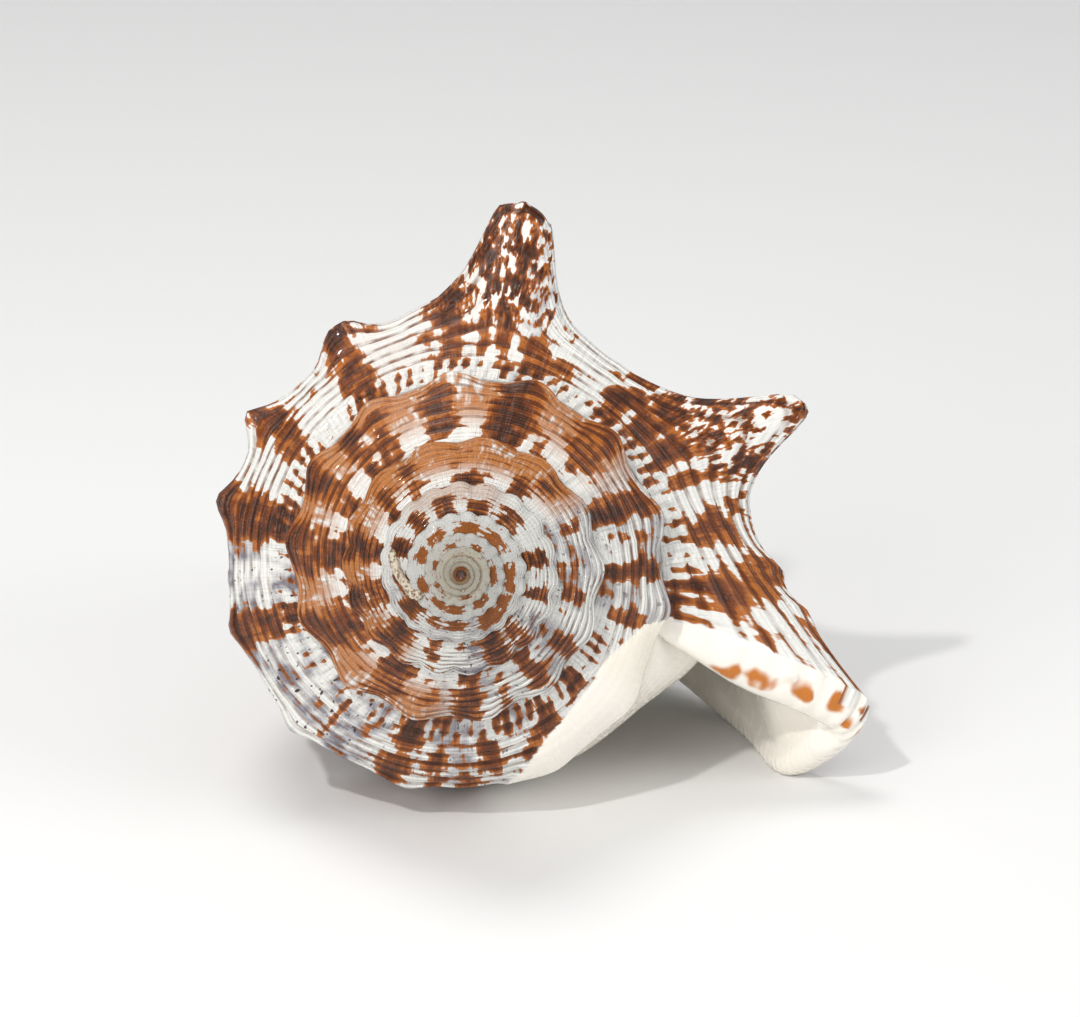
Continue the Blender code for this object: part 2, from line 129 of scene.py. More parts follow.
def wander(x, period, seed):
    # smooth seeded noise between -1 and 1 along one axis: random heights joined by smooth steps
    rng = np.random.default_rng(seed)
    knots = rng.uniform(-1, 1, 4096)
    place = np.asarray(x, float) / period + 2048
    low = np.floor(place).astype(int)
    t = place - low
    t = t * t * (3 - 2 * t)
    return knots[low % 4096] * (1 - t) + knots[(low + 1) % 4096] * t


def cordNumber(rows):
    # three cords to a row down to row 4, then seven and a half
    rows = np.asarray(rows, float)
    return np.where(rows < 4, 3 * rows, 12 + 7.5 * (rows - 4))


def rowOfCord(cords):
    # cordNumber turned round: the row that a cord lies on
    return np.where(cords < 12, cords / 3, 4 + (cords - 12) / 7.5)


def allRows():
    # the rows of the grid: a fixed number of steps to each cord
    steps = shell["stepsPerCord"]
    return rowOfCord(np.arange(shell["cords"] * steps + 1) / steps)


def crossed(growth, rows):
    # growth angles as a column and rows as a line, so that a formula of both fills a grid
    return np.asarray(growth, float)[:, None], np.asarray(rows, float)[None, :]


def suture(growth):
    # a logarithmic spiral down a cone: radius and depth of the seam at the top of the whorl
    scale = shell["turnRatio"] ** (-growth / 360)
    return shell["sutureRadius"] * scale, shell["sutureDepth"] * scale ** shell["depthPower"]


def rowWeights(rows):
    # Catmull-Rom weights of the 11 control rows for each row value
    rows = np.asarray(rows, float)
    start = np.minimum(rows.astype(int), 9)
    t = rows - start
    cubic = (
        (-t + 2 * t**2 - t**3) / 2,
        (2 - 5 * t**2 + 3 * t**3) / 2,
        (t + 4 * t**2 - 3 * t**3) / 2,
        (t**3 - t**2) / 2,
    )
    weights = np.zeros((len(rows), 11))
    for offset, weight in zip((-1, 0, 1, 2), cubic):
        np.add.at(weights, (np.arange(len(rows)), np.clip(start + offset, 0, 10)), weight)
    return weights


def controlRows(growth):
    # radius and depth of the 11 control rows at each growth angle: the spiral's seam, the shoulder, and the
    # body rows, which go over from the ventral side to the back and gain the flare near the lip
    g = np.asarray(growth, float)[:, None]
    seamRadius, seamDepth = suture(g)
    nextRadius, nextDepth = suture(g - 360)
    flare = shell["flare"] * np.exp(-g / shell["flareReach"])
    bodyRadius = np.interp(g, *np.transpose(shell["shoulderRadius"])) + flare
    bodyDepth = np.interp(g, *np.transpose(shell["shoulderDepth"]))
    inSpire = smooth(g, 340, 380)
    shoulderRadius = bodyRadius + (0.995 * nextRadius - bodyRadius) * inSpire
    spireDepth = seamDepth + 0.77 * (nextDepth - seamDepth)
    shoulderDepth = bodyDepth + (spireDepth - bodyDepth) * inSpire
    lastTurn = 360 * shell["turns"]
    plain = smooth(g, lastTurn - 240, lastTurn)
    shoulderRadius = shoulderRadius - 0.25 * plain * (nextRadius - seamRadius)
    radius = [seamRadius]
    depth = [seamDepth]
    for across, down in ((0.44, 0.30), (0.80, 0.62), (1, 1)):
        radius.append(seamRadius + across * (shoulderRadius - seamRadius))
        depth.append(seamDepth + down * (shoulderDepth - seamDepth))
    toFront = smooth(g, 150, 360)
    earlier = np.clip(g - 360, 0, None) / 360
    for row, shrink in zip(shell["bodyRows"], shell["innerShrink"]):
        frontR, frontD, backR, backD, flareR, flareD, reach = row
        decay = np.exp(-g / reach)
        r = backR + (frontR - backR) * toFront + flareR * decay
        d = backD + (frontD - backD) * toFront + flareD * decay
        radius.append(r * np.exp(-shrink[0] * earlier))
        depth.append(d * np.exp(-shrink[1] * earlier))
    onSeam = smooth(g, 345, 375)
    radius[4] = radius[4] + (nextRadius - radius[4]) * onSeam
    depth[4] = depth[4] + (nextDepth - depth[4]) * onSeam
    return np.hstack(radius), np.hstack(depth)


def leanAt(growth, weights):
    # angle added to each point so that the lip's edge follows its own line, fading over 75 degrees
    fade = (1 - smooth(np.asarray(growth, float), 0, 75))[:, None]
    return fade * (weights @ np.array(shell["edgeLean"]))[None, :]


def knobWave(g):
    # a raised cosine round the shell, 1 on each knob; the early whorls have closer, broader knobs
    count = (g - shell["knobPhase"]) / shell["knobSpacing"]
    extra = 1 / shell["earlyKnobSpacing"] - 1 / shell["knobSpacing"]
    count = count + extra * np.clip(g - 900, 0, None)
    return (0.5 + 0.5 * np.cos(2 * math.pi * count)) ** (1.5 - 0.9 * smooth(g, 400, 900))


def bumpHeight(growth, rows):
    # spines and knobs: a bell across the growth angle times a bell along the rows; then the spire's knobs and
    # the body whorl's low nodules, a raised cosine round the shell times a bell along the rows
    g, t = crossed(growth, rows)
    height = np.zeros((g.shape[0], t.shape[1]))
    for angle, size, halfWidth, halfLength, bluntness in shell["spines"]:
        across = 1 / (1 + np.abs((g - angle) / halfWidth) ** bluntness) ** 1.35
        height += size * across * np.exp(-((t - 3) / halfLength) ** 2 / 1.4)
    for angle, most, before, after, rough in shell["brokenTips"]:
        most = most - before * np.clip(angle - g, 0, 12) - after * np.clip(g - angle, 0, 12)
        most = most + rough * (wander(g, 0.9, 31) + wander(9 * t, 1, 32))
        most = most + 40 * smooth(np.abs(g - angle), 9, 16)
        height = height - 0.35 * np.log1p(np.exp((height - most) / 0.35))
    wave = knobWave(g)
    size = shell["knobHeight"] * shell["turnRatio"] ** (-(g - 360) / 360)
    size = size * smooth(g, 285, 330)
    height += size * wave * np.exp(-((t - 2.9) / 0.75) ** 2)
    size = shell["noduleHeight"] * smooth(g, 10, 40) * (1 - smooth(g, 240, 290))
    height += size * wave * np.exp(-((t - shell["noduleRow"]) / 0.3) ** 2)
    return height


def callusAt(growth, rows):
    # 1 where the smooth callus covers the ventral side: it starts past one growth angle for each row, and
    # past one row for each growth angle near the lip's corner
    g, t = crossed(growth, rows)
    edge = np.interp(t, *np.transpose(shell["callusEdge"]))
    upper = np.interp(g, *np.transpose(shell["callusUpper"]))
    ending = 1 - smooth(g, 361, 367)
    ragged = 1.2 * wander(cordNumber(t), 0.9, 51)
    return smooth(g + ragged, edge - 1.6, edge + 1.6) * smooth(t, upper - 0.12, upper + 0.12) * ending


def padAt(growth, rows):
    # height of the smooth pad between callus and lip: a bell round the lip's start times a window of rows
    g, t = crossed(growth, rows)
    bell = np.exp(-((g - 360) / shell["padReach"]) ** 2)
    pad = shell["padHeight"] * bell * smooth(t, 4, 5) * (1 - smooth(t, 5.2, 7))
    # the callus also fills the groove that leads up to the lip's start
    return pad + shell["grooveFill"] * np.exp(-((g - 336) / 14) ** 2 - ((t - 4) / 0.5) ** 2)


def bluntAt(growth, rows):
    # rounds the canal's end: a half ellipse added to the radius over the last row
    past = np.clip(np.asarray(rows, float) - 9, 0, 1)
    nearLip = np.exp(-np.asarray(growth, float) / 30)[:, None]
    return shell["bluntTip"] * past * np.sqrt(1 - past) * (1 + 1.5 * nearLip)


def placed(radius, depth, angle):
    # cylinder coordinates to x, y, z; the canal's end bends back with the square of the depth past 66
    turn = np.radians(angle)
    lift = shell["canalBend"] * np.clip(depth - 66, 0, None) ** 2
    return np.stack([radius * np.cos(turn), depth, radius * np.sin(turn) + lift], axis=-1)


def fineRelief(growth, rows, covered):
    # spiral cords: a rounded ridge on each cord number, each with its own strength; growth folds: slow seeded
    # waves round the shell; both fade at the suture, at the canal's end and under the callus
    g, t = crossed(growth, rows)
    cords = cordNumber(t)
    rng = np.random.default_rng(shell["seed"])
    strength = rng.uniform(0.65, 1.2, 80)[np.floor(cords).astype(int)]
    ridge = 1 - np.abs(2 * (cords % 1) - 1) ** 2.2
    nearLip = np.exp(-g / 45)
    height = shell["cordHeight"] + (shell["lipCordHeight"] - shell["cordHeight"]) * nearLip
    height = height * strength * (0.85 + 0.3 * wander(g + 40 * cords, 9, 5))
    fade = smooth(t, 0.05, 0.5) * (1 - smooth(t, 9, 9.8)) * (1 - 0.9 * covered)
    folds = shell["foldHeight"] * (wander(g, 3.2, 7) + 0.6 * wander(g, 8, 8))
    folds = folds * smooth(t, 0.2, 1) * (1 - smooth(t, 8.5, 9.7)) * (1 - 0.7 * covered)
    return (height * (ridge - 0.5)) * fade + folds


def sectionAt(growth, rows):
    # what each surface starts from: growth angles, row weights, control radius and depth, turned angle
    growth = np.asarray(growth, float)
    weights = rowWeights(rows)
    angle = growth[:, None] + shell["lipAngle"] + leanAt(growth, weights)
    return growth, weights, *controlRows(growth), angle


def outerPoints(growth, rows):
    # the outside: plain section, then spines and callus along the radius and the fine relief along the normal
    growth, weights, radius, depth, angle = sectionAt(growth, rows)
    radius = radius @ weights.T + bluntAt(growth, rows)
    depth = depth @ weights.T
    covered = callusAt(growth, rows)
    bumps = bumpHeight(growth, rows) * (1 - 0.5 * covered)
    size = np.clip(radius / 24, 0, 1)
    alongR = np.gradient(radius + bumps, axis=1)
    alongD = np.gradient(depth, axis=1)
    length = np.hypot(alongR, alongD) + 1e-9
    relief = fineRelief(growth, rows, covered) * size
    height = bumps + shell["callusHeight"] * covered * size + padAt(growth, rows)
    outR = radius + height + relief * alongD / length
    outD = depth - 0.12 * np.clip(height - 2, 0, None) - relief * alongR / length
    return placed(outR, outD, angle)


def hollowEnd(growth):
    # radius and depth of the hollow's lower end, in the canal
    leaving = 1 - np.exp(-growth / 5)
    inside = 1 - np.exp(-growth / 40)
    return 0.8 * leaving + 0.4 * inside, shell["length"] - 1.2 * leaving - 4.5 * inside


def innerPoints(growth, rows):
    # the inside of the outer wall: the plain section moved in by the wall's thickness
    growth, weights, radius, depth, angle = sectionAt(growth, rows)
    alongR = np.gradient(radius, axis=1)
    alongD = np.gradient(depth, axis=1)
    length = np.hypot(alongR, alongD)
    nearLip = np.exp(-growth / 22)[:, None]
    taper = np.array(shell["wallTaper"])[None, :]
    wall = (shell["wall"] + (shell["lipWall"] - shell["wall"]) * nearLip) * taper
    wall[:, 9] = np.minimum(wall[:, 9], 1.5)
    radiusIn = radius - wall * alongD / length
    depthIn = depth + wall * alongR / length
    wallRadius, wallDepth = controlRows(growth + 360)
    downR = wallRadius[:, 5] - wallRadius[:, 4]
    downD = wallDepth[:, 5] - wallDepth[:, 4]
    length = np.hypot(downR, downD)
    drop = np.interp(growth, *np.transpose(shell["cornerDrop"]))
    radiusIn[:, 0] = radius[:, 0] + (drop * downR + 0.25 * downD) / length + shell["callusHeight"]
    depthIn[:, 0] = depth[:, 0] + (drop * downD - 0.25 * downR) / length
    radiusIn[:, 0] += padAt(growth + 360, [5])[:, 0]
    radiusIn[:, 1] = radiusIn[:, 0] + 0.45 * (radiusIn[:, 2] - radiusIn[:, 0])
    depthIn[:, 1] = depthIn[:, 0] + 0.45 * (depthIn[:, 2] - depthIn[:, 0])
    radiusIn[:, 10], depthIn[:, 10] = hollowEnd(growth)
    radiusIn = radiusIn @ weights.T + bluntAt(growth, rows) * np.exp(-growth / 18)[:, None]
    return placed(radiusIn, depthIn @ weights.T, angle)


def parietalPoints(growth, rows):
    # the wall that the hollow coils round: the surface of the whorl before
    growth, weights, radius, depth, _ = sectionAt(growth, rows)
    radius[:, 10], depth[:, 10] = hollowEnd(growth - 360)
    radius = radius @ weights.T + bluntAt(growth, rows) * np.exp(-(growth - 360) / 18)[:, None]
    cover = shell["callusHeight"] * np.clip(radius / 24, 0, 1)
    raised = radius + cover + padAt(growth, rows)
    return placed(raised, depth @ weights.T, growth[:, None] + shell["lipAngle"])


def pinned(points, first, last, rows):
    # moves the ends of each parietal section onto the ends of the lip side, fading out between
    t = np.asarray(rows, float)
    nearFirst = (1 - smooth(t, 4, 5.6))[None, :, None]
    nearLast = smooth(t, 8.8, 10)[None, :, None]
    moved = points + (first - points[:, 0])[:, None, :] * nearFirst
    return moved + (last - moved[:, -1])[:, None, :] * nearLast


# The colour plan. Flames are brown bands along the growth lines, for each whorl counted from the
# body whorl: image angle round the apex, half width in degrees, first and last row, strength.
shellPaint = {
    "ground": -0.34,
    "flames": (
        (0, (
         (-11.5, 5.5, -1, 1.3, 1), (-7, 2.2, 0.6, 6, 0.45), (3, 3.2, 0.9, 2.2, 0.9), (8, 2, 0.5, 5, 0.45),
         (17, 2.6, 0.7, 3.4, 0.7), (24, 4.5, 0.4, 2.2, 0.7), (23, 2.6, 2.3, 3.6, 0.4),
         (34, 5, 0.5, 3.4, 0.95), (43.5, 4.6, 0.4, 4, 0.95), (61, 4, 0.9, 1.7, 0.8), (68, 4.5, 0.6, 1.6, 1),
         (77, 2.2, 0.3, 3.4, 0.55), (83, 1.6, 0.8, 3.4, 0.5), (91, 5, 0.5, 4.2, 0.5), (97.5, 2, 0.4, 2, 0.5),
         (118.5, 5.2, -1, 4.6, 1), (143.2, 4.4, -1, 4.6, 1), (166.5, 6.6, -1, 4.6, 1),
         (196, 4.8, 0.2, 4.6, 1), (229.5, 1.5, 0.1, 2.6, 0.8), (249, 4.8, 1.7, 3, 0.8), (252, 4, 0.1, 1.2, 1),
         (240, 2.2, 0.4, 1.6, 0.5), (262, 3, 1.2, 3.2, 0.6), (277, 3.6, 0.8, 2.2, 0.9),
         (271, 2.6, 2.2, 3.6, 0.75), (290, 2.8, 1.2, 3, 0.7), (283, 3.4, -0.2, 1, 0.9), (297, 3, 0.2, 2, 0.8),
         (312, 4.2, 0, 1, 0.9),
        )),
        (1, (
         (-20, 4, 0.6, 2, 0.8), (-3.5, 3.2, 0.2, 2.8, 1), (8, 1.6, 0.4, 2.4, 0.6), (19, 4.6, 0, 2.5, 1),
         (41, 6.4, 0.6, 3, 0.8), (55, 2.5, 0.1, 1, 0.5), (70, 7.6, 0.1, 3, 1), (97, 6.8, 0.4, 2.6, 1),
         (120, 5, 0.2, 2.4, 0.8), (131, 4.4, 0, 3, 0.9), (149, 6.4, 0, 3.2, 0.95), (172, 9.5, 0, 3.2, 0.9),
         (204, 9, 0, 3.2, 0.9), (236, 7, 0, 3.2, 0.95), (255, 4, 0.5, 2, 0.6), (272, 6, 0, 3.4, 1),
         (288, 3, 0.6, 3, 0.7), (304, 4.5, 0.2, 2.6, 0.85), (322, 4, 0.8, 3, 0.8),
        )),
        (2, (
         (-15, 3.6, 0.6, 2.4, 0.8), (0, 3.2, 0.2, 1.6, 0.6), (18, 3.6, 0.8, 2, 0.8), (40, 6, 0.9, 2.6, 0.6),
         (52, 5.5, 0, 1.4, 1), (85, 9, -0.5, 0.7, 0.95), (118, 4, 0, 2.6, 0.8), (137, 5.5, 0, 2.2, 0.9),
         (166, 8, 0, 3, 1), (195, 9, 0, 3, 1), (224, 8.5, 0.2, 3.2, 1), (250, 5, 0.2, 2, 0.75),
         (268, 5, -0.5, 0.8, 0.7), (293, 8, 0, 3.2, 0.9), (310, 6, 0, 2.6, 0.9),
        )),
        (3, (
         (-20, 6, 0, 2.4, 0.95), (8, 7, -0.5, 2.2, 1), (45, 8, -0.5, 1.8, 0.95), (75, 9, -0.5, 1.5, 1),
         (104, 9, -0.5, 1.8, 1), (130, 9, -0.5, 1.9, 1), (157, 8, -0.5, 2.1, 0.95), (185, 6, -0.5, 1.6, 0.8),
         (216, 10, -0.5, 2.1, 1.1), (240, 8, -0.5, 1.4, 0.9), (264, 10, -0.5, 1.3, 1),
         (303, 12, -0.5, 2, 1.1), (325, 7, -0.5, 1.6, 0.9),
        )),
        (4, (
         (-6, 15, -0.5, 1.5, 1), (42, 15, -0.5, 1.6, 1), (80, 13, -0.5, 1.5, 1), (124, 12, -0.5, 1.5, 0.95),
         (156, 10, -0.5, 1.5, 1), (197, 10, -0.5, 1.6, 1), (232, 12, -0.5, 1.3, 0.9),
         (262, 11, -0.5, 1.6, 1.05), (304, 13, -0.5, 1.6, 1),
        )),
        (5, (
         (-5, 18, -0.5, 1.3, 0.8), (55, 12, -0.5, 1.2, 0.75), (105, 10, -0.5, 1.2, 0.7),
         (158, 14, -0.5, 1.3, 0.75), (212, 12, -0.5, 1.3, 0.75), (280, 16, -0.5, 1.3, 0.75),
        )),
    ),
    # peach glaze on the knobs: whorl, first and last image angle, strength
    "peach": ((1, 28, 262, 0.95), (2, 28, 236, 1), (0, 84, 124, 0.1), (3, 60, 130, 0.4)),
    # blue-grey stains and small specks on white, in the same terms
    "grey": (
        (0, 174, 246, 1), (0, 254, 300, 0.7), (2, -30, 30, 0.6), (1, -25, 30, 0.5), (2, 262, 330, 0.9),
        (1, 250, 330, 0.6), (0, 66, 74, 0.7), (3, 180, 330, 0.5),
    ),
    # fine brown lines between the cords, in the same terms
    "lines": (
        (0, 84, 174, 1), (0, 48, 60, 0.8), (0, 174, 252, 0.6), (0, -20, 48, 0.7), (0, 252, 339, 0.45),
        (1, -21, 30, 0.95), (1, 30, 339, 0.8), (2, -21, 339, 0.7), (3, -21, 339, 0.3),
    ),
    # yellow-brown on the lip's rim, stains with painted shade where the rim turns under: row, place on the
    # roll (0 outside, 1 inside), half sizes, strength
    "lipStainsAndShade": ((0.7, 0.3, 0.16, 0.1, 0.5), (1, 0.22, 0.16, 0.12, 0.75), (1.25, 0.28, 0.16, 0.12, 0.8),
                 (1.5, 0.4, 0.1, 0.08, 0.6), (1.6, 0.16, 0.2, 0.08, 0.8), (1.95, 0.2, 0.18, 0.08, 0.8),
                 (2.3, 0.14, 0.2, 0.07, 0.8), (2.7, 0.26, 0.16, 0.08, 0.65), (3.3, 0.2, 0.16, 0.1, 0.6)),
    # how many degrees back from the lip the porcelain reaches on the outside, for each row
    "lipEdge": ((0, 3.6), (0.7, 3.2), (1.1, 2.2), (1.5, 1.2), (2.2, 0.2), (3, -0.6), (4, -1.2)),
    "backWave": 24,
    # noises that bend the flames' edges: scale along and across the cords, detail, weight
    "noise": {"broad": (0.1, 0.16, 3, 1.3), "streaks": (0.2, 0.72, 2, 1.9), "dashes": (0.33, 7.31, 1, 1.3),
              "ragged": (1.2, 0.5, 2, 0.6), "folds": (1.9, 0.12, 3, 0.4)},
    "beadWeight": 0.34,
    "reliefDepth": 0.00016,
    "gloss": {"Specular IOR Level": 0.32, "Coat Weight": 0.22, "Coat Roughness": 0.06},
}


def windowOf(x, start, end, soft):
    # 1 between start and end, 0 outside, with smooth sides twice as wide as soft
    return smooth(x, start - soft, start + soft) * (1 - smooth(x, end - soft, end + soft))


def paintPlan(growth, rows):
    # brown: the ground plus the strongest flame at each point, a bell round the shell times a window of rows;
    # below the body whorl's shoulder a slanting wave stands in; then more brown on the lip's side, the spines
    # and the left, and between early knobs. The other columns are windows round the shell, or its own heights
    g, t = np.broadcast_arrays(*crossed(growth, rows))
    cords = np.floor(cordNumber(t))
    jitter = wander(cords * 1.7 + np.floor(g / 360) * 31, 1, 3)
    whorl = np.floor(g / 360)
    image = g + shell["lipAngle"] - 360 * whorl
    brown = np.zeros_like(g) + shellPaint["ground"]
    lift = np.zeros_like(g)
    for number, flames in shellPaint["flames"]:
        for centre, half, first, last, strength in flames:
            reach = half * (1 + 0.12 * (number > 0))
            away = (image - centre + 1.1 * jitter * min(half / 5, 1)) / reach
            flame = strength * np.exp(-np.abs(away) ** 3) * windowOf(t, first, last, 0.3)
            lift = np.maximum(lift, flame * (whorl == number))
    below = smooth(t, 3.6, 4.6) * (whorl == 0)
    slant = g + 5 * np.sin(1.9 * t) + 7 * wander(t, 0.8, 21)
    wave = 0.5 + 0.5 * np.cos(2 * math.pi * slant / shellPaint["backWave"] + 2 * wander(g, 30, 22))
    brown = brown + np.maximum(lift, below * wave * 0.75)
    rightSide = (whorl == 0) * (1 - smooth(image, 6, 16)) * smooth(t, 0.6, 1.4)
    brown = brown + 0.28 * rightSide * (1 - np.clip(lift, 0, 1))
    spineNet = (whorl == 0) * windowOf(image, 60, 99, 3) * windowOf(t, 1.2, 4.6, 0.4)
    brown = brown + 0.2 * spineNet + 0.24 * (whorl == 0) * windowOf(image, 250, 318, 8)
    early = smooth(g, 1700, 2300) + smooth(g, 2850, 3300)
    brown = brown + 1.3 * smooth(g, 3200, 3420)
    # knobs of the early whorls stand out white, with brown in the gaps between them
    gaps = (1 - knobWave(g)) * smooth(t, 2.7, 3.7) * smooth(g, 700, 1000)
    brown = brown + 0.42 * gaps - 0.2 * knobWave(g) * windowOf(t, 2, 4.5, 0.4) * smooth(g, 1000, 1300)
    zones = []
    for kind, soft in (("peach", 9), ("grey", 6), ("lines", 3)):
        zone = np.zeros_like(g)
        for number, first, last, strength in shellPaint[kind]:
            zone = np.maximum(zone, strength * windowOf(image, first, last, soft) * (whorl == number))
        zones.append(zone)
    peach, grey, lines = zones
    peach = peach * smooth(t, 0.3, 1.6)
    lines = lines * smooth(t, 0.5, 1.2)
    lipEdge = np.interp(t, *np.transpose(shellPaint["lipEdge"])) + 0.9 * jitter
    glaze = np.maximum(callusAt(growth, rows), smooth(g, lipEdge + 0.7, lipEdge - 0.7))
    rise = bumpHeight(growth, rows) * (whorl == 0)
    beads = (whorl == 0) + 0.5 * (whorl == 1)
    young = 0.8 * smooth(g, 1250, 1500)
    return np.stack([brown, peach, grey, glaze, 0 * g, early, lines, rise, beads, young], axis=-1)


paintNames = ("brown", "peach", "grey", "glaze", "stainAndShade", "early", "lines", "rise", "beads", "young")


def paintRow(**values):
    # one point's paint: the named values, 0 for the rest
    return np.array([values.get(name, 0.0) for name in paintNames])


def rimPaint(edgePaint, roll, rows):
    # the pattern runs over onto the outer part of the rolled rim, each cord ending at its own place; past
    # that the rim is porcelain, with yellow-brown stains and painted shade where it turns under
    across, t = crossed(roll / math.pi, rows)
    jitter = 0.06 * wander(np.floor(cordNumber(t)) * 1.7, 1, 41) + 0.03 * wander(cordNumber(t), 0.6, 42)
    end = 0.03 + 0.1 * smooth(t, 1.6, 3.6) + jitter
    paint = np.repeat(edgePaint[None], len(roll), axis=0)
    paint[..., paintNames.index("glaze")] = np.maximum(smooth(across, end, end + 0.05), smooth(t, 1.2, 0.6))
    for row, place, halfRow, halfRoll, strength in shellPaint["lipStainsAndShade"]:
        away = ((t - row) / halfRow) ** 2 + ((across - place) / halfRoll) ** 2
        paint[..., paintNames.index("stainAndShade")] += strength * np.exp(-away)
    return paint


def cellCorners(grid):
    # the values at the four corners of each cell of a grid, in turn round the cell
    return np.stack([grid[:-1, :-1], grid[:-1, 1:], grid[1:, 1:], grid[1:, :-1]], axis=2)


def ringQuads(rings, sides):
    # quads between rings of points, each ring closed on itself
    number = np.arange(rings * sides).reshape(-1, sides)
    return cellCorners(np.hstack([number, number[:, :1]])).reshape(-1, 4)


class Sheet:
    # collects points, their paint, and faces as arrays of corners with the pattern place of each corner

    def __init__(self):
        self.points = []
        self.paint = []
        self.count = 0
        self.faces = []

    def add(self, points, paint):
        # points (..., 3) and paint (..., one for each of paintNames); returns their numbers in the same shape
        size = int(np.prod(points.shape[:-1]))
        self.points.append(points.reshape(size, 3))
        self.paint.append(np.broadcast_to(paint, points.shape[:-1] + (len(paintNames),)).reshape(size, -1))
        self.count += size
        return np.arange(self.count - size, self.count).reshape(points.shape[:-1])

    def grid(self, number, place):
        # a quad for each cell of a grid of numbers; a cell with two equal corners becomes a triangle
        corners = cellCorners(number).reshape(-1, 4)
        places = cellCorners(place).reshape(-1, 4, 2)
        same = corners == np.roll(corners, -1, axis=1)
        whole = ~same.any(axis=1)
        self.faces.append((corners[whole], places[whole]))
        for side in range(4):
            hit = same[:, side] & (same.sum(axis=1) == 1)
            keep = [k for k in range(4) if k != (side + 1) % 4]
            self.faces.append((corners[hit][:, keep], places[hit][:, keep]))

    def fan(self, edge, centre):
        # a triangle from one point to each step of an edge
        corners = np.stack([edge[:-1], edge[1:], np.full(len(edge) - 1, centre)], axis=1)
        self.faces.append((corners, np.zeros(corners.shape + (2,))))

    def mesh(self, name):
        points = np.concatenate(self.points)
        groups = [group for group in self.faces if len(group[0])]
        corners = np.concatenate([group[0].reshape(-1) for group in groups])
        places = np.concatenate([group[1].reshape(-1, 2) for group in groups])
        sizes = np.concatenate([np.full(len(group[0]), group[0].shape[1]) for group in groups])
        made = bpy.data.meshes.new(name)
        made.vertices.add(len(points))
        made.loops.add(len(corners))
        made.polygons.add(len(sizes))
        made.vertices.foreach_set("co", points.astype(np.float32).reshape(-1))
        made.loops.foreach_set("vertex_index", corners.astype(np.int32))
        made.polygons.foreach_set("loop_start", (np.cumsum(sizes) - sizes).astype(np.int32))
        made.update(calc_edges=True)
        layer = made.uv_layers.new(name="pattern")
        layer.data.foreach_set("uv", places.astype(np.float32).reshape(-1))
        paint = np.concatenate(self.paint)
        for column, label in enumerate(paintNames):
            values = made.attributes.new(label, "FLOAT", "POINT").data
            values.foreach_set("value", paint[:, column].astype(np.float32))
        made.shade_smooth()
        return made


def patternPlace(growth, rows):
    # u: cord widths round the shell, v: cord number, both over 100
    g = np.asarray(growth, float)
    along = 0.65 * np.minimum(g, 360) + 0.36 * np.clip(g - 360, 0, None)
    u, v = np.meshgrid(along, cordNumber(rows), indexing="ij")
    return np.stack([u, v], axis=-1) / 100


def bodyColumns():
    # growth angles of one turn, closer at the two spines and at the lip
    g = np.linspace(0, 360, 3601)
    density = 1
    for centre, gain in shell["denserAt"]:
        density = density + gain * np.exp(-((g - centre) / 9) ** 2)
    density = density + 0.8 * np.exp(-g / 8)
    total = np.concatenate([[0], np.cumsum((density[1:] + density[:-1]) / 2)])
    return np.interp(np.linspace(0, total[-1], shell["columns"] + 1), total, g)


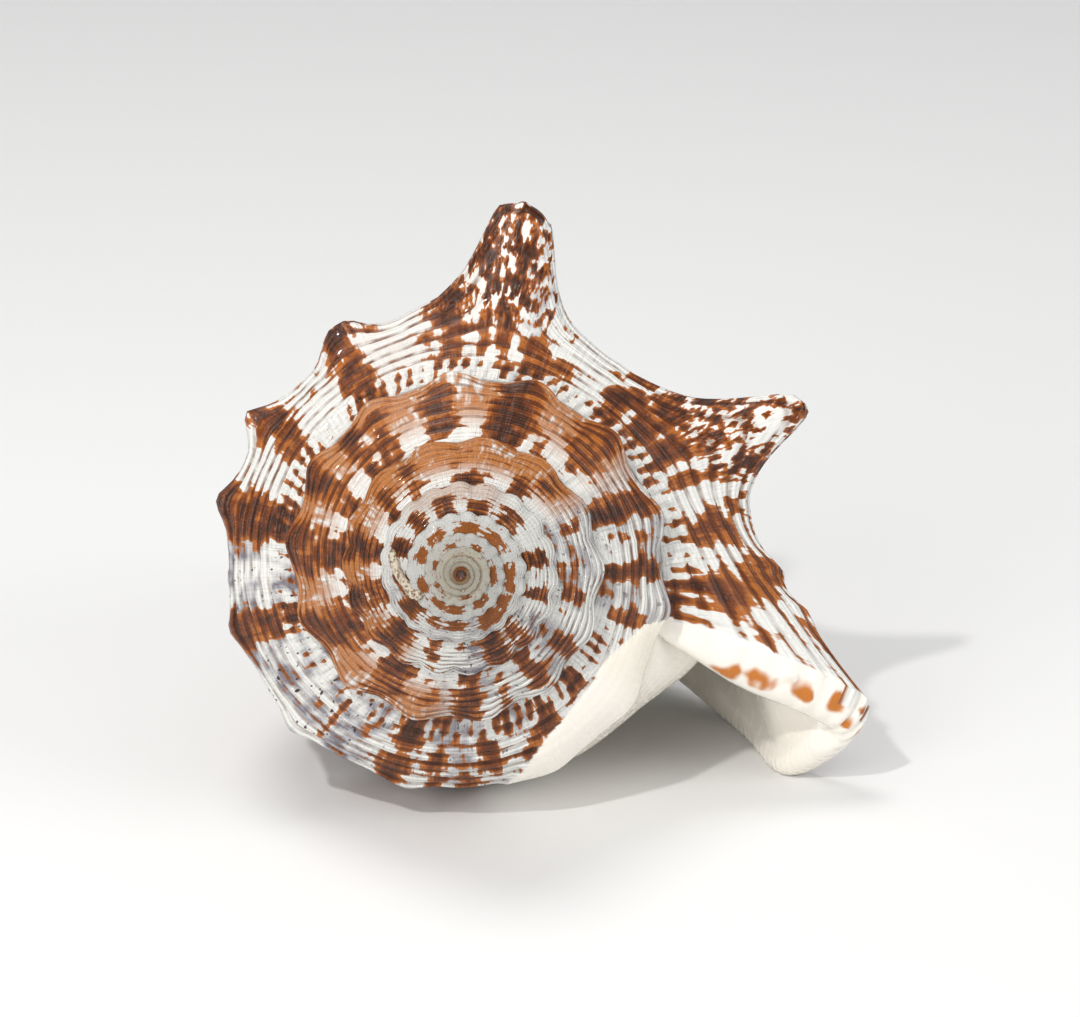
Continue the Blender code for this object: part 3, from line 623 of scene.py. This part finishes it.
def growShell():
    # one closed sheet: the whorls' outside, the rolled rim, and the hollow behind the lip
    sheet = Sheet()
    rows = allRows()
    upper = shell["spireCords"] * shell["stepsPerCord"]
    turn = shell["columns"]
    body = bodyColumns()
    spire = [body[1:] + 360]
    spire += [body[2::2] + 360 * k for k in (2, 3, 4, 5)]
    spire += [body[6::6] + 360 * k for k in range(6, shell["turns"])]
    spire = np.concatenate(spire)

    outside = outerPoints(body, rows)
    bodyPaint = paintPlan(body, rows)
    bodyPlace = patternPlace(body, rows)
    whorl = sheet.add(outside[:, :-1], bodyPaint[:, :-1])
    tip = sheet.add(outside[:1, -1], bodyPaint[:1, -1])[0]
    whorl = np.hstack([whorl, np.full((turn + 1, 1), tip)])
    whorl[0, 0] = whorl[turn, upper]
    sheet.grid(whorl, bodyPlace)

    # the spire's whorls, each ending at the suture of the next
    above = sheet.add(outerPoints(spire, rows)[:, :upper], paintPlan(spire, rows)[:, :upper])
    spirePlace = patternPlace(spire, rows[: upper + 1])
    firstColumn = whorl[turn : turn + 1, :upper]
    sheet.grid(np.vstack([firstColumn, above]), np.vstack([bodyPlace[turn:, :upper], spirePlace[:, :upper]]))
    seamAngles = np.concatenate([body, spire])
    seams = np.concatenate([whorl[:, 0], above[:, 0]])
    edgeAngles = np.concatenate([[360], spire])
    edges = np.concatenate([whorl[turn : turn + 1, upper - 1], above[:, upper - 1]])
    under = np.searchsorted(seamAngles, edgeAngles - 360 - 1e-6)
    lowEdge = slice(upper - 1, upper + 1)
    edgePlace = np.vstack([bodyPlace[turn, lowEdge][None], spirePlace[:, lowEdge]])
    step = np.diff(under)
    for width in (1, 2, 3):
        pick = np.where(step == width)[0]
        corners = [edges[pick]] + [seams[under[pick] + k] for k in range(width + 1)] + [edges[pick + 1]]
        # a whorl with fewer columns has five- or six-sided faces along its lower edge
        ends = edgePlace[:, 1]
        between = [(ends[pick] * (width - k) + ends[pick + 1] * k) / width for k in range(width + 1)]
        places = [edgePlace[pick, 0]] + between + [edgePlace[pick + 1, 0]]
        sheet.faces.append((np.stack(corners, axis=1), np.stack(places, axis=1)))

    # the apex closes over the last seam
    apex = sheet.add(np.array([[0, 0.3, 0]]), paintRow(brown=0.9, early=2))[0]
    last = np.searchsorted(seamAngles, 360 * (shell["turns"] - 1) - 1e-6)
    ring = np.concatenate([seams[last:], above[-1, 1:upper], seams[last : last + 1]])[::-1]
    sheet.fan(ring, apex)
    print("outside grown:", len(body), "columns and", len(rows), "rows on the body whorl")

    # the rim rolls from the outer edge of the lip to the inner one: a half ellipse ahead of the lip
    weights = rowWeights(rows)
    edge = outside[0].copy()
    edge[0] = outside[turn, upper]
    innerEdge = innerPoints([0], rows)[0]
    bulge = (weights @ np.array(shell["rimBulge"]) * (1 - smooth(rows, 8.9, 9.5)))[:, None]
    turned = np.radians(shell["lipAngle"] + leanAt([0], weights)[0])
    ahead = np.stack([np.sin(turned), 0 * turned, -np.cos(turned)], axis=-1)
    outward = np.stack([np.cos(turned), 0 * turned, np.sin(turned)], axis=-1)
    loops = shell["rimLoops"]
    roll = np.linspace(0, math.pi, loops + 2)[1:-1]
    middle = (edge + innerEdge) / 2
    half = (edge - innerEdge) / 2
    fillet = 0.8 * (1 - smooth(rows, 0, 1.2))[:, None] * outward
    rim = np.array([middle + math.cos(a) * half + math.sin(a) * (bulge * ahead + fillet) for a in roll])
    hollow = np.array(shell["hollowAngles"], float)
    lipSide = np.concatenate([rim, innerEdge[None], innerPoints(hollow, rows)])
    walk = np.concatenate([np.linspace(0, 2, loops + 2)[1:], hollow])
    innerRows = rows[upper:]
    wallSide = parietalPoints(360 + walk, innerRows)
    # the wall starts level with the outside, and what differs there fades out over a few degrees
    ledge = outside[turn, upper:] - parietalPoints([360], innerRows)[0]
    wallSide = wallSide + ledge * np.exp(-walk / 4)[:, None, None]
    wallSide = pinned(wallSide, lipSide[:, 0], lipSide[:, -1], innerRows)

    porcelain = paintRow(brown=-1, glaze=1)
    lipPaint = np.zeros(lipSide.shape[:2] + (len(paintNames),)) + porcelain
    lipPaint[:loops] = rimPaint(bodyPaint[0], roll, rows)
    deepEnds = sheet.add(lipSide[loops + 1 :, -1], lipPaint[loops + 1 :, -1])
    ends = np.concatenate([np.full(loops + 1, tip), deepEnds])
    lipGrid = np.hstack([sheet.add(lipSide[:, :-1], lipPaint[:, :-1]), ends[:, None]])
    wallGrid = sheet.add(wallSide[:, 1:-1], porcelain)
    wallGrid = np.hstack([lipGrid[:, :1], wallGrid, lipGrid[:, -1:]])
    lipPlace = patternPlace(-walk, rows)
    wallPlace = patternPlace(360 + walk, innerRows)
    sheet.grid(np.vstack([whorl[:1], lipGrid])[::-1], np.vstack([bodyPlace[:1], lipPlace])[::-1])
    sheet.grid(
        np.vstack([whorl[turn : turn + 1, upper:], wallGrid]),
        np.vstack([bodyPlace[turn:, upper:], wallPlace]),
    )
    # the hollow ends where its two sides are joined across
    deepLip = lipGrid[-1]
    deepWall = wallGrid[-1]
    sheet.fan(deepLip[1 : upper + 1], deepLip[0])
    across = np.vstack([deepLip[upper:], deepWall])[::-1]
    sheet.grid(across, np.zeros(across.shape + (2,)))
    print("rim and hollow grown:", len(lipSide), "loops")
    return sheet


def stood(points):
    # rolls the shell a little about its length, tilts it about X, and turns millimetres into metres
    tilt = math.radians(shell["tilt"])
    roll = math.radians(shell["roll"])
    x, y, z = points.T
    x, z = x * math.cos(roll) - z * math.sin(roll), x * math.sin(roll) + z * math.cos(roll)
    y, z = y * math.cos(tilt) + z * math.sin(tilt), z * math.cos(tilt) - y * math.sin(tilt)
    return np.stack([x, y, z], axis=-1) * 0.001


def farthestTip(node):
    # the point of a CAD node that lies farthest along Y
    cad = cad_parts[node].data
    points = np.zeros(len(cad.vertices) * 3, np.float32)
    cad.vertices.foreach_get("co", points)
    points = points.reshape(-1, 3)
    return points[np.argmax(points[:, 1])]


def putInScene(name, data):
    made = bpy.data.objects.new(name, data)
    bpy.context.scene.collection.objects.link(made)
    return made


def finishPiece(name, mesh, material, replaced=None):
    piece = putInScene(name, mesh)
    mesh.materials.append(material)
    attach(piece, "root")
    if replaced:
        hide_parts(replaced)


class Graph:
    # a material's nodes; each call adds one node and returns its output

    def __init__(self, name):
        self.material = bpy.data.materials.new(name)
        self.material.use_nodes = True
        self.tree = self.material.node_tree
        self.shader = self.tree.nodes["Principled BSDF"]

    def feed(self, value, socket):
        if isinstance(value, bpy.types.NodeSocket):
            self.tree.links.new(value, socket)
        else:
            socket.default_value = value

    def give(self, name, value):
        self.feed(value, self.shader.inputs[name])

    def math(self, operation, a, b=0):
        node = self.tree.nodes.new("ShaderNodeMath")
        node.operation = operation
        self.feed(a, node.inputs[0])
        self.feed(b, node.inputs[1])
        return node.outputs[0]

    def times(self, a, b):
        return self.math("MULTIPLY", a, b)

    def plus(self, a, b):
        return self.math("ADD", a, b)

    def minus(self, a, b):
        return self.math("SUBTRACT", a, b)

    def attribute(self, name):
        node = self.tree.nodes.new("ShaderNodeAttribute")
        node.attribute_name = name
        return node.outputs["Fac"]

    def combine(self, x, y, z=0):
        node = self.tree.nodes.new("ShaderNodeCombineXYZ")
        for value, socket in zip((x, y, z), node.inputs):
            self.feed(value, socket)
        return node.outputs[0]

    def noise(self, vector, scale, detail=2, rough=0.5):
        node = self.tree.nodes.new("ShaderNodeTexNoise")
        self.feed(vector, node.inputs["Vector"])
        node.inputs["Scale"].default_value = scale
        node.inputs["Detail"].default_value = detail
        node.inputs["Roughness"].default_value = rough
        return node.outputs["Fac"]

    def smooth(self, value, start, end, low=0, high=1):
        node = self.tree.nodes.new("ShaderNodeMapRange")
        node.interpolation_type = "SMOOTHSTEP"
        sockets = ("Value", "From Min", "From Max", "To Min", "To Max")
        for socket, number in zip(sockets, (value, start, end, low, high)):
            self.feed(number, node.inputs[socket])
        return node.outputs[0]

    def mix(self, factor, a, b):
        node = self.tree.nodes.new("ShaderNodeMix")
        node.data_type = "RGBA"
        self.feed(factor, node.inputs[0])
        self.feed(a, node.inputs[6])
        self.feed(b, node.inputs[7])
        return node.outputs[2]

    def bump(self, height, distance):
        node = self.tree.nodes.new("ShaderNodeBump")
        self.feed(height, node.inputs["Height"])
        node.inputs["Distance"].default_value = distance
        return node.outputs[0]


def colour(red, green, blue):
    # a colour given as it looks on screen, 0 to 255, made linear: a power curve, straight near black
    shares = [v / 255 for v in (red, green, blue)]
    return (*[((s + 0.055) / 1.055) ** 2.4 if s > 0.0404 else s / 12.92 for s in shares], 1)


shellColours = {
    "white": (233, 232, 227),
    "cream": (246, 236, 208),
    "orange": (176, 100, 32),
    "brown": (116, 56, 14),
    "dark": (64, 30, 8),
    "peach": (188, 118, 58),
    "grey": (158, 156, 164),
    "line": (112, 72, 46),
    # speck: the specks on white, and also the painted shade of the suture line
    "speck": (64, 52, 54),
    "smudge": (104, 98, 108),
    "callus": (248, 243, 235),
    # the rim's yellow-brown: stains, and painted shade where the rim turns under
    "honeyStainAndShade": (196, 116, 36),
    # tan: the early whorls' nucleus, and also the painted shade along their sutures
    "tan": (186, 146, 92),
}


def shellMaterial():
    # brown where the plan plus noise passes zero: broad noise bends the flames' edges, streaks drawn out
    # along the cords break them into bars, and the grooves between cords hold thin lines
    ink = {name: colour(*value) for name, value in shellColours.items()}
    p = Graph("shell_glaze_and_flames")
    split = p.tree.nodes.new("ShaderNodeSeparateXYZ")
    uv = p.tree.nodes.new("ShaderNodeUVMap")
    uv.uv_map = "pattern"
    p.feed(uv.outputs[0], split.inputs[0])
    along = p.times(split.outputs[0], 100)
    across = p.times(split.outputs[1], 100)
    cord = p.math("FLOOR", across)
    fromTop = p.math("ABSOLUTE", p.minus(p.math("FRACT", across), 0.5))
    groove = p.smooth(fromTop, 0.2, 0.46)

    rise = p.attribute("rise")

    def field(alongScale, acrossScale, place, detail):
        # noise between about -0.25 and 0.25, drawn out along or across the cords, and up the spines
        spot = p.combine(p.times(along, alongScale), p.times(place, acrossScale), p.times(rise, 0.42))
        return p.minus(p.noise(spot, 1, detail), 0.5)

    early = p.attribute("early")
    level = p.attribute("brown")
    noises = []
    for name, (alongScale, acrossScale, detail, weight) in shellPaint["noise"].items():
        noises.append(field(alongScale, acrossScale, cord if name == "dashes" else across, detail))
        level = p.plus(level, p.times(noises[-1], weight))
    broad, streaks, dashes, ragged, folds = noises
    mottle = p.plus(ragged, streaks)
    clouds = p.plus(broad, streaks)
    level = p.plus(level, p.times(p.minus(groove, 0.4), 0.2))
    onSpine = p.smooth(rise, 1, 4.5)
    spots = p.noise(p.combine(p.times(along, 1.35), p.times(across, 1),
                              p.times(rise, 0.75)), 1, 2)
    spots = p.plus(p.times(p.minus(spots, 0.5), 4), 0.12)
    level = p.plus(level, p.times(spots, onSpine))

    # oblique beads under each suture: white between short brown dashes
    slant = p.plus(p.times(along, 2.3), p.times(across, 1.5))
    bead = p.math("SINE", p.plus(slant, p.times(broad, 5)))
    beadRow = p.times(p.smooth(across, 0.15, 0.7), p.smooth(across, 2.9, 2.2))
    beadRow = p.times(beadRow, p.attribute("beads"))
    level = p.plus(level, p.times(beadRow, p.times(bead, shellPaint["beadWeight"])))

    brown = p.smooth(level, -0.03, 0.09)
    ridgeTone = p.minus(level, p.times(p.smooth(fromTop, 0.45, 0.1), 0.12))
    tone = p.mix(p.smooth(ridgeTone, 0.04, 0.36), ink["orange"], ink["brown"])
    tone = p.mix(p.smooth(ridgeTone, 0.38, 0.9), tone, ink["dark"])
    tone = p.mix(p.times(groove, 0.3), tone, ink["dark"])
    tone = p.mix(p.attribute("young"), tone, ink["orange"])

    grey = p.attribute("grey")
    stain = p.smooth(clouds, -0.14, 0.1)
    white = p.mix(p.times(stain, p.smooth(grey, 0, 1, 0.04, 0.85)), ink["white"], ink["grey"])
    smudge = p.times(p.smooth(clouds, 0.03, 0.14), p.smooth(grey, 0.2, 1, 0, 0.75))
    white = p.mix(smudge, white, ink["smudge"])
    white = p.mix(p.smooth(early, 0, 1, 0, 0.6), white, ink["cream"])
    # painted shade: a tan band along the suture of the early whorls, standing in for the shade in the groove
    # where the dark suture line is too thin to show
    ring = p.times(p.smooth(across, 3.4, 0.8), p.smooth(early, 0.1, 1, 0, 0.7))
    white = p.mix(ring, white, ink["tan"])
    white = p.mix(p.smooth(early, 1.1, 1.8, 0, 0.8), white, ink["tan"])
    peach = p.times(p.attribute("peach"), p.smooth(p.plus(broad, ragged), -0.32, -0.02))
    ground = p.mix(peach, white, ink["peach"])
    thread = p.times(p.smooth(fromTop, 0.24, 0.42), p.smooth(dashes, -0.2, 0.16, 0.15, 1))
    thread = p.times(thread, p.attribute("lines"))
    ground = p.mix(thread, ground, ink["line"])
    speck = p.times(p.smooth(field(0.85, 1.1, across, 1), 0.15, 0.2), grey)
    ground = p.mix(speck, ground, ink["speck"])
    skin = p.mix(brown, ground, tone)

    # painted shade: the suture is darkened to a thin dark line, standing in for the shade in the groove
    # between whorls
    sutureShade = p.times(p.smooth(across, 0.7, 0.1), p.smooth(streaks, -0.2, 0.1, 0.3, 0.9))
    skin = p.mix(sutureShade, skin, ink["speck"])

    glaze = p.attribute("glaze")
    flat = p.combine(along, across)
    nacre = p.mix(p.smooth(p.noise(flat, 0.05, 1), 0.4, 0.65, 0.1, 0.35), ink["callus"], ink["cream"])
    # yellow-brown on the rim: stains, with painted shade where the rim turns under
    stainAndShade = p.attribute("stainAndShade")
    stainedAndShaded = p.plus(stainAndShade, p.times(stainAndShade, p.times(mottle, 5)))
    nacre = p.mix(p.smooth(stainedAndShaded, 0.22, 0.55), nacre, ink["honeyStainAndShade"])
    skin = p.mix(p.smooth(glaze, 0.35, 0.65), skin, nacre)
    p.give("Base Color", skin)
    rough = p.smooth(mottle, -0.2, 0.25, 0.16, 0.4)
    p.give("Roughness", p.minus(rough, p.times(glaze, 0.06)))
    relief = p.times(p.math("SINE", p.times(across, 18.85)), 0.25)
    relief = p.plus(relief, p.times(folds, 1.8))
    relief = p.plus(relief, p.times(p.times(beadRow, bead), -0.9))
    plainPart = p.minus(1, p.times(glaze, 0.93))
    p.give("Normal", p.bump(p.times(relief, plainPart), shellPaint["reliefDepth"]))
    for name, value in shellPaint["gloss"].items():
        p.give(name, value)
    return p.material


sheet = growShell()
# the canal's tip is lined up with the CAD solid's, and nothing reaches below the surface it rests on
pole = stood(outerPoints([0], [9.9, 10])[0])[1]
offset = farthestTip("shell") - pole
standing = stood(np.concatenate(sheet.points)) + offset
standing[:, 2] = np.maximum(standing[:, 2], 0)
sheet.points = [standing]
shellMesh = sheet.mesh("shell")
finishPiece("conch_shell", shellMesh, shellMaterial(), "shell")
triangles = len(shellMesh.loops) - 2 * len(shellMesh.polygons)
print("shell built:", len(shellMesh.vertices), "points,", triangles, "triangles")

# A small crusty worm tube near the apex: points on the shell by growth angle and row.
wormTube = {
    "route": ((1262, 2), (1272, 1.4), (1286, 0.8), (1300, 0.25), (1664, 3.3), (1668, 2.5), (1664, 1.9)),
    "crustDepth": 0.0002,
    "rings": 81,
    "sides": 16,
    "radius": 0.5,
    "lift": 0.34,
    "colour": (206, 194, 174),
    "dirt": (120, 98, 78),
}


def growWormTube(offset):
    # a ring of radius r carried along a smooth curve through the route's points; r swells and shrinks in
    # seeded waves, and both ends close in a pole
    perCord = shell["stepsPerCord"]
    spots = [outerPoints([g], allRows())[0][round(float(cordNumber(t)) * perCord)]
             for g, t in wormTube["route"]]
    spots = stood(np.array(spots)) * 1000
    spots = spots + np.array([0, -1, 0.25]) * wormTube["lift"]
    place = np.linspace(0, len(spots) - 1, wormTube["rings"])
    low = np.minimum(place.astype(int), len(spots) - 2)
    t = (place - low)[:, None]
    padded = np.vstack([2 * spots[0] - spots[1], spots, 2 * spots[-1] - spots[-2]])
    p0, p1, p2, p3 = (padded[low + k] for k in range(4))
    second = 2 * p0 - 5 * p1 + 4 * p2 - p3
    third = 3 * p1 - p0 - 3 * p2 + p3
    path = 0.5 * (2 * p1 + (p2 - p0) * t + second * t**2 + third * t**3)
    ahead = np.gradient(path, axis=0)
    ahead /= np.linalg.norm(ahead, axis=1)[:, None]
    side = np.cross(ahead, np.array([0, -1, 0.3]))
    side /= np.linalg.norm(side, axis=1)[:, None]
    upright = np.cross(side, ahead)
    sides = wormTube["sides"]
    turn = np.linspace(0, 2 * math.pi, sides, endpoint=False)
    steps = np.arange(float(wormTube["rings"]))
    swell = 1 + 0.14 * wander(steps, 3.1, 61)[:, None]
    swell = swell + 0.16 * wander(steps[:, None] * 0.9 + 7 * turn, 2.3, 62)
    ends = np.sqrt(np.clip(1 - (2 * steps / steps[-1] - 1) ** 10, 0, 1))[:, None]
    reach = (wormTube["radius"] * swell * ends)[..., None]
    circle = np.cos(turn)[:, None] * side[:, None] + np.sin(turn)[:, None] * upright[:, None]
    ring = path[:, None] + reach * circle
    inner = ring[1:-1].reshape(-1, 3)
    points = np.vstack([inner, path[:1], path[-1:]]) * 0.001 + offset
    here = np.arange(sides)
    beside = np.roll(here, -1)
    last = len(inner) - sides
    first = np.stack([np.full(sides, len(inner)), beside, here], axis=1)
    final = np.stack([np.full(sides, len(inner) + 1), last + here, last + beside], axis=1)
    faces = ringQuads(len(ring) - 2, sides).tolist() + first.tolist() + final.tolist()
    made = bpy.data.meshes.new("worm_tube")
    made.from_pydata(points.tolist(), [], faces)
    made.shade_smooth()
    return made


def wormTubeMaterial():
    # chalky beige, darker where fine noise is low, with a rough bump
    p = Graph("chalky_worm_tube")
    place = p.tree.nodes.new("ShaderNodeTexCoord").outputs["Object"]
    crust = p.noise(place, 2600, 3, 0.6)
    chalk = p.mix(p.smooth(crust, 0.36, 0.55), colour(*wormTube["dirt"]), colour(*wormTube["colour"]))
    p.give("Base Color", chalk)
    p.give("Roughness", p.smooth(crust, 0.3, 0.7, 0.95, 0.7))
    p.give("Normal", p.bump(crust, wormTube["crustDepth"]))
    return p.material


finishPiece("worm_tube", growWormTube(offset), wormTubeMaterial())
print("worm tube built")

stage = {
    "floorSides": 96,
    "floorRadius": 1.4,
    "wallHeight": 1.6,
    "bend": 0.8,
    "colour": (0.86, 0.86, 0.855, 1),
    "cameraDistance": 0.480,
    "cameraElevation": 20.5,
    "focalPixels": 4571,
    "apexPixel": (460.2, 574.3),
    "frameSize": (1080, 1017),
    "sensorWidth": 36,
    # soft round lights: place, height they are aimed at, size, power, tone
    "lights": {
        "key_light": ((-0.15, 0.1, 0.75), 0.02, 0.35, 1.9, (1, 0.98, 0.95)),
        "front_light": ((-0.45, -0.7, 0.35), 0.03, 0.5, 2.5, (1, 1, 1)),
        "spark_light": ((-0.22, -0.42, 0.5), 0.03, 0.03, 1.5, (1, 0.98, 0.94)),
        "right_light": ((0.6, -0.35, 0.4), 0.03, 0.4, 1.4, (1, 1, 1)),
    },
    "airTone": (0.95, 0.97, 1, 1),
    "airPower": 0.45,
}


def studioFloor():
    # a disc whose edge bends up into a wall: a profile of radius and height turned round the vertical axis
    t = np.linspace(0, math.pi / 2, 17)
    bend = stage["bend"]
    sides = stage["floorSides"]
    edge = stage["floorRadius"]
    radius = np.concatenate([[0.05, 0.4], edge + bend * np.sin(t), [edge + bend]])
    height = np.concatenate([[0, 0], bend * (1 - np.cos(t)), [stage["wallHeight"]]])
    turn = np.linspace(0, 2 * math.pi, sides, endpoint=False)
    across = radius[:, None]
    ring = np.stack([across * np.cos(turn), across * np.sin(turn), height[:, None] + 0 * turn], axis=-1)
    faces = ringQuads(len(ring), sides)[:, ::-1].tolist() + [list(range(sides))]
    made = bpy.data.meshes.new("studio_floor")
    made.from_pydata(ring.reshape(-1, 3).tolist(), [], faces)
    made.shade_smooth()
    paper = bpy.data.materials.new("pale_paper")
    paper.use_nodes = True
    shader = paper.node_tree.nodes["Principled BSDF"]
    shader.inputs["Base Color"].default_value = stage["colour"]
    shader.inputs["Roughness"].default_value = 0.9
    made.materials.append(paper)
    putInScene("studio_floor", made)


def softLight(name, place, aimHeight, size, power, tone):
    data = bpy.data.lights.new(name, "AREA")
    data.shape = "DISK"
    data.size = size
    data.energy = power
    data.color = tone
    lamp = putInScene(name, data)
    lamp.location = place
    lamp.rotation_euler = (Vector((0, 0, aimHeight)) - Vector(place)).to_track_quat("-Z", "Y").to_euler()


def photoCamera(apexPoint):
    # the camera stands on the line through the apex, and is aimed so that the apex falls on its own pixel
    tilt = math.radians(stage["cameraElevation"])
    look = Vector((0, math.cos(tilt), -math.sin(tilt)))
    upward = Vector((0, math.sin(tilt), math.cos(tilt)))
    focal = stage["focalPixels"]
    width, height = stage["frameSize"]
    apexX, apexY = stage["apexPixel"]
    aim = look * focal + Vector((1, 0, 0)) * (width / 2 - apexX) + upward * (apexY - height / 2)
    data = bpy.data.cameras.new("photo_camera")
    data.sensor_width = stage["sensorWidth"]
    data.lens = stage["sensorWidth"] * focal / width
    camera = putInScene("photo_camera", data)
    camera.location = Vector(apexPoint) - look * stage["cameraDistance"]
    camera.rotation_euler = aim.to_track_quat("-Z", "Y").to_euler()
    bpy.context.scene.camera = camera


studioFloor()
for name, values in stage["lights"].items():
    softLight(name, *values)
world = bpy.data.worlds.new("studio_air")
world.use_nodes = True
world.node_tree.nodes["Background"].inputs[0].default_value = stage["airTone"]
world.node_tree.nodes["Background"].inputs[1].default_value = stage["airPower"]
bpy.context.scene.world = world
bpy.context.scene.view_settings.view_transform = "Standard"
photoCamera(stood(np.array([[0, 0.6, 0]]))[0] + offset)
print("stage, lights and camera set")
